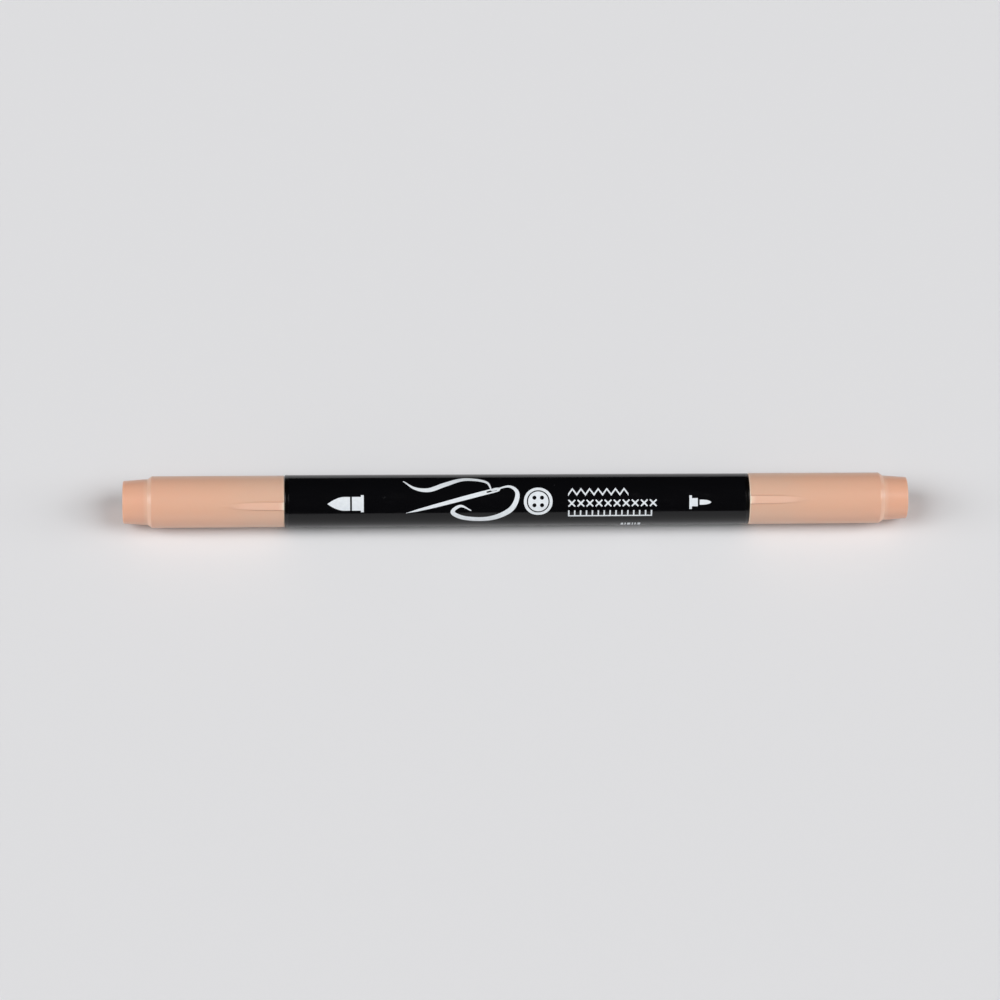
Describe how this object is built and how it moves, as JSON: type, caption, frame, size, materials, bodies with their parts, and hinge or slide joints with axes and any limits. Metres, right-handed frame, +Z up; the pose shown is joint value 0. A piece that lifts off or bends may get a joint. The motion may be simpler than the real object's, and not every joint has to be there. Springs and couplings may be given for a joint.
{
  "type": "fabric marking pen",
  "caption": "Double-ended fabric marker: tapered round barrel, brush and bullet nibs, and two push-on caps with posting spigots and anti-roll ribs.",
  "frame": {"origin": "middle of the rectangle the capped pen covers, at the height of the table it lies on", "axes": "+X along the pen from the brush end to the bullet end, +Z up, with the caps' anti-roll ribs near the top"},
  "size_m": [0.1616, 0.0108, 0.0108],
  "materials": {
    "barrel_black": "gloss",
    "label_film": "gloss",
    "holder_black": "satin",
    "cap_peach": "semi-gloss",
    "liner_natural": "satin",
    "nib_felt": "felt",
    "reservoir_fibre": "fibre",
    "reservoir_film": "clear film",
    "print_white": "ink"
  },
  "bodies": {
    "barrel": {"barrel_tube": "barrel_black", "label_film": "label_film", "brush_nib_holder": "holder_black", "bullet_nib_holder": "holder_black", "brush_nib": "nib_felt", "bullet_nib": "nib_felt", "ink_reservoir": "reservoir_fibre", "reservoir_film": "reservoir_film"},
    "brush_cap_liner": {"brush_cap_liner": "liner_natural"},
    "brush_cap": {"brush_cap_shell": "cap_peach"},
    "bullet_cap_liner": {"bullet_cap_liner": "liner_natural"},
    "bullet_cap": {"bullet_cap_shell": "cap_peach"}
  },
  "joints": [
    {"name": "brush_cap_pull", "type": "slide", "parent": "barrel", "child": "brush_cap_liner", "axis": [-1, 0, 0], "range_m": [0, 0.04]},
    {"name": "brush_cap_twist", "type": "hinge", "parent": "brush_cap_liner", "child": "brush_cap", "pos_m": [-0.064, 0, 0.00541], "axis": [1, 0, 0], "continuous": true},
    {"name": "bullet_cap_pull", "type": "slide", "parent": "barrel", "child": "bullet_cap_liner", "axis": [1, 0, 0], "range_m": [0, 0.04]},
    {"name": "bullet_cap_twist", "type": "hinge", "parent": "bullet_cap_liner", "child": "bullet_cap", "pos_m": [0.064, 0, 0.00541], "axis": [1, 0, 0], "continuous": true}
  ]
}
